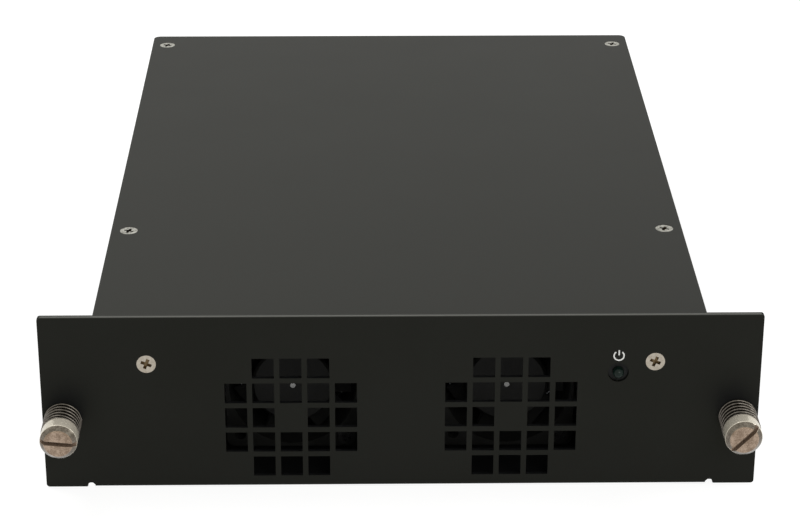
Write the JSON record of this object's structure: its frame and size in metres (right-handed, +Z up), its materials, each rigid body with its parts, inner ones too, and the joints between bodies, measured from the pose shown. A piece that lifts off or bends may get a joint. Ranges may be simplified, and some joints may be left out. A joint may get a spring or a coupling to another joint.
{
  "type": "redundant power supply module",
  "caption": "Low rectangular plug-in power supply in a folded black steel case, with a wide front panel, square-hole fan grilles, status lamp and spring-loaded captive screws.",
  "frame": {"origin": "middle of the underside of the module's box, captive screw heads and terminal barriers included", "axes": "+X to the right as seen from the front, +Y from the front panel to the rear wall, +Z up"},
  "size_m": [0.2086, 0.2976, 0.0552],
  "materials": {
    "case_paint": "semi-gloss black powder coat",
    "screw_plating": "nickel-plated steel",
    "blackened_steel": "black oxide",
    "captive_nickel": "turned and nickel-plated",
    "spring_steel": "bright drawn wire",
    "zinc_steel": "zinc-plated",
    "black_plastic": "moulded, matt",
    "lamp_green": "clear tinted epoxy",
    "board_laminate": "glass-filled laminate with solder resist",
    "insulating_film": "thin film",
    "sink_aluminium": "extruded",
    "device_epoxy": "moulded epoxy",
    "ferrite": "sintered",
    "winding_copper": "enamelled copper wire",
    "capacitor_sleeve": "shrunk sleeve",
    "film_case": "moulded box",
    "fuse_ceramic": "glazed ceramic tube",
    "terminal_brass": "stamped brass"
  },
  "bodies": {
    "case": {"chassis_tray": "case_paint", "top_cover": "case_paint", "cover_screws": "screw_plating", "panel_screws": "screw_plating", "left_captive_spring": "spring_steel", "right_captive_spring": "spring_steel", "left_fan_frame": "black_plastic", "right_fan_frame": "black_plastic", "left_fan_stator": "winding_copper", "right_fan_stator": "winding_copper", "fan_bracket": "zinc_steel", "fan_screws": "blackened_steel", "bracket_screws": "screw_plating", "led_holder": "black_plastic", "led_lamp": "lamp_green", "power_board": "board_laminate", "control_board": "board_laminate", "board_standoffs": "zinc_steel", "board_screws": "screw_plating", "insulating_sheet": "insulating_film", "primary_heatsink": "sink_aluminium", "secondary_heatsink": "sink_aluminium", "primary_transistors": "device_epoxy", "rectifiers": "device_epoxy", "transformer_core": "ferrite", "transformer_winding": "winding_copper", "line_filter_choke": "winding_copper", "output_choke": "winding_copper", "input_capacitors": "capacitor_sleeve", "output_capacitors": "capacitor_sleeve", "film_capacitors": "film_case", "fuse": "fuse_ceramic", "fuse_clips": "terminal_brass", "input_terminal_block": "black_plastic", "terminal_plates": "terminal_brass", "terminal_screws": "screw_plating", "block_screws": "screw_plating", "output_connector": "black_plastic", "output_pins": "terminal_brass"},
    "left_ring": {"left_retaining_ring": "spring_steel"},
    "right_ring": {"right_retaining_ring": "spring_steel"},
    "left_screw": {"left_captive_screw": "captive_nickel"},
    "right_screw": {"right_captive_screw": "captive_nickel"},
    "left_rotor": {"left_fan_rotor": "black_plastic", "left_fan_shaft": "spring_steel"},
    "right_rotor": {"right_fan_rotor": "black_plastic", "right_fan_shaft": "spring_steel"}
  },
  "joints": [
    {"name": "left_captive_push", "type": "slide", "parent": "case", "child": "left_ring", "axis": [0, 1, 0], "range_m": [0, 0.003], "stiffness_N_per_m": 800, "springref_m": -0.004, "deforming": ["left_captive_spring"]},
    {"name": "right_captive_push", "type": "slide", "parent": "case", "child": "right_ring", "axis": [0, 1, 0], "range_m": [0, 0.003], "stiffness_N_per_m": 800, "springref_m": -0.004, "deforming": ["right_captive_spring"]},
    {"name": "left_captive_turn", "type": "hinge", "parent": "left_ring", "child": "left_screw", "pos_m": [-0.0982, -0.1332, 0.0225], "axis": [0, 1, 0], "continuous": true},
    {"name": "right_captive_turn", "type": "hinge", "parent": "right_ring", "child": "right_screw", "pos_m": [0.0982, -0.1332, 0.0225], "axis": [0, 1, 0], "continuous": true},
    {"name": "left_fan_spin", "type": "hinge", "parent": "case", "child": "left_rotor", "pos_m": [-0.032, -0.1135, 0.0225], "axis": [0, 1, 0], "continuous": true},
    {"name": "right_fan_spin", "type": "hinge", "parent": "case", "child": "right_rotor", "pos_m": [0.032, -0.1135, 0.0225], "axis": [0, 1, 0], "continuous": true}
  ]
}
